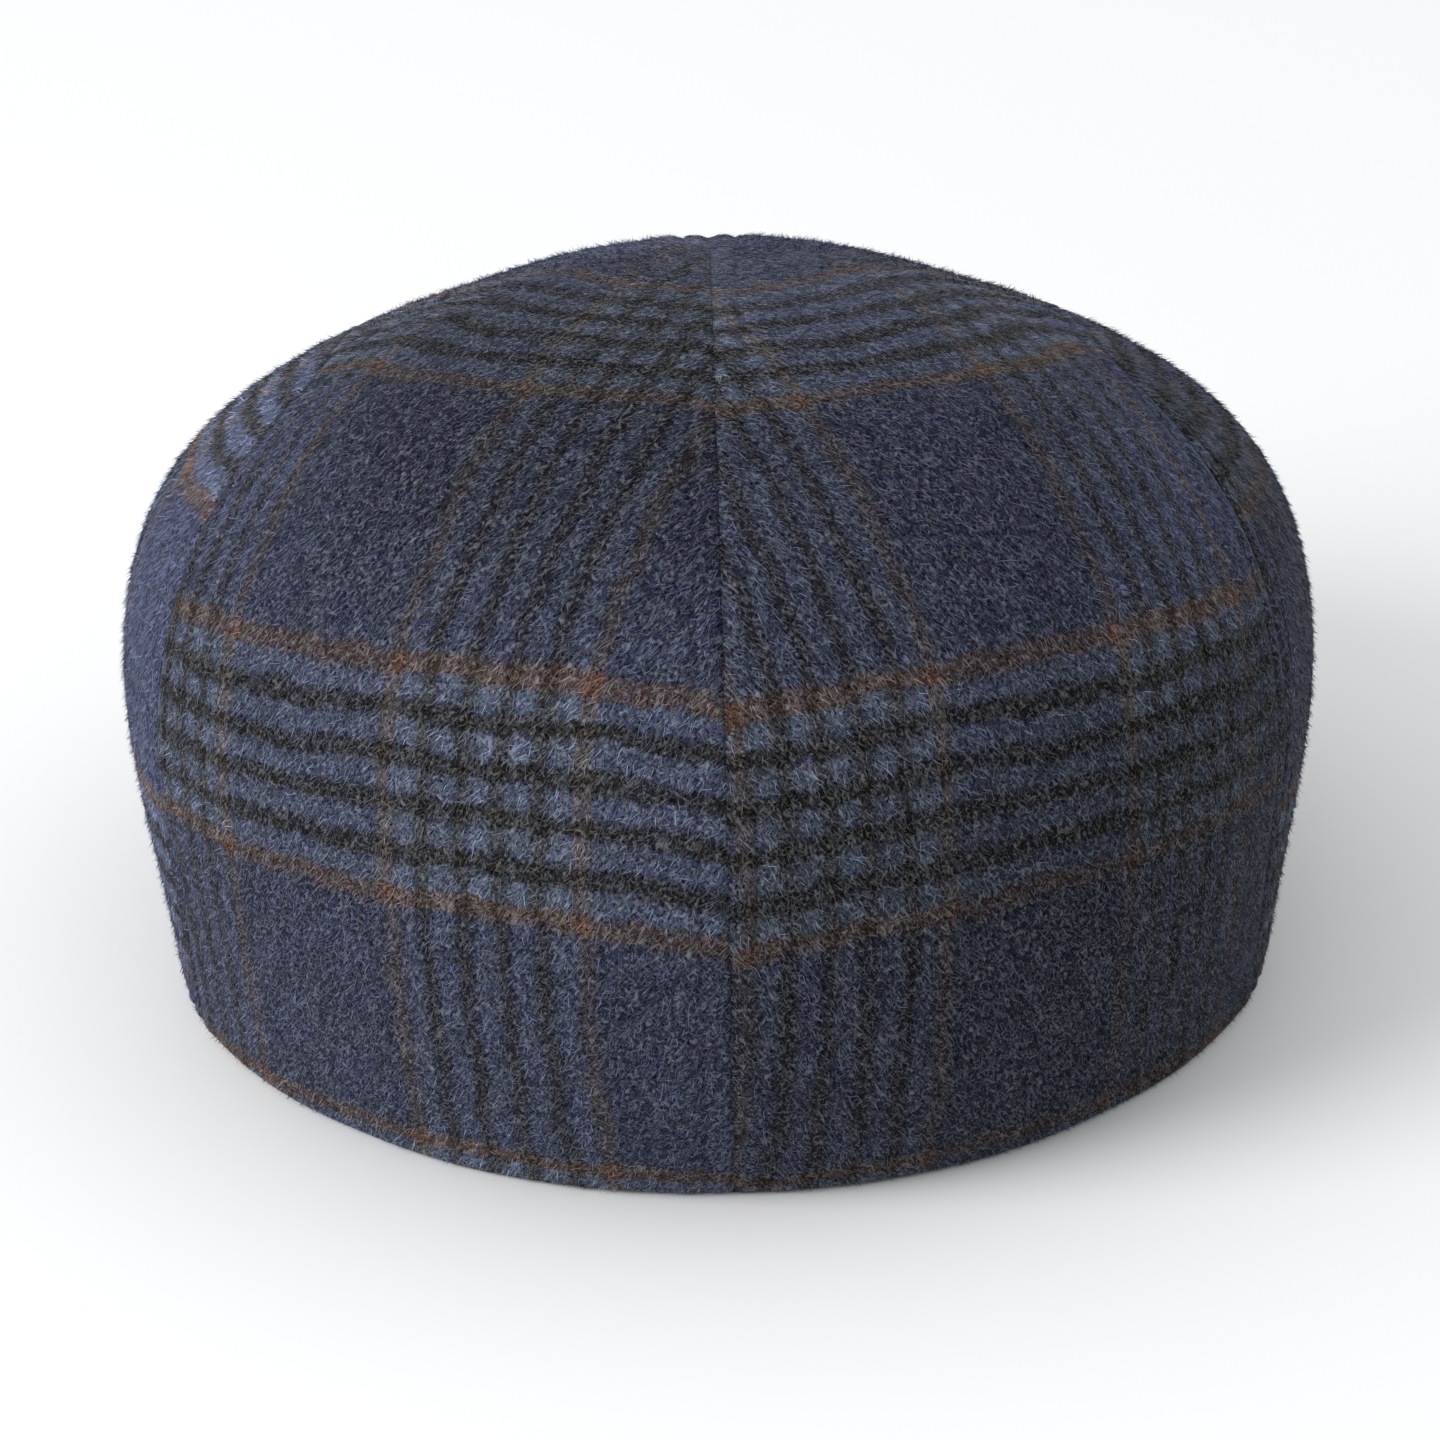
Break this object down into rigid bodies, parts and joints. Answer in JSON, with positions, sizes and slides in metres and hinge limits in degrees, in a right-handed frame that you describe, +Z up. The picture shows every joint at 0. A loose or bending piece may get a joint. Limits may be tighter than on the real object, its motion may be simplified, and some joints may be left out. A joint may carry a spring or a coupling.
{
  "type": "flat cap",
  "caption": "Soft wool flat cap with sewn crown panels, side panels and a stiff covered peak, open below for the head.",
  "frame": {"origin": "middle of the cap's box, on the level that its hem rests on", "axes": "+Z up, -Y forward over the peak, +X to the wearer's left"},
  "size_m": [0.186, 0.2546, 0.1202],
  "materials": {
    "tartan_wool": "brushed"
  },
  "bodies": {
    "root": {"crown_left": "tartan_wool", "crown_right": "tartan_wool", "side_left": "tartan_wool", "side_right": "tartan_wool", "peak": "tartan_wool"}
  },
  "joints": []
}
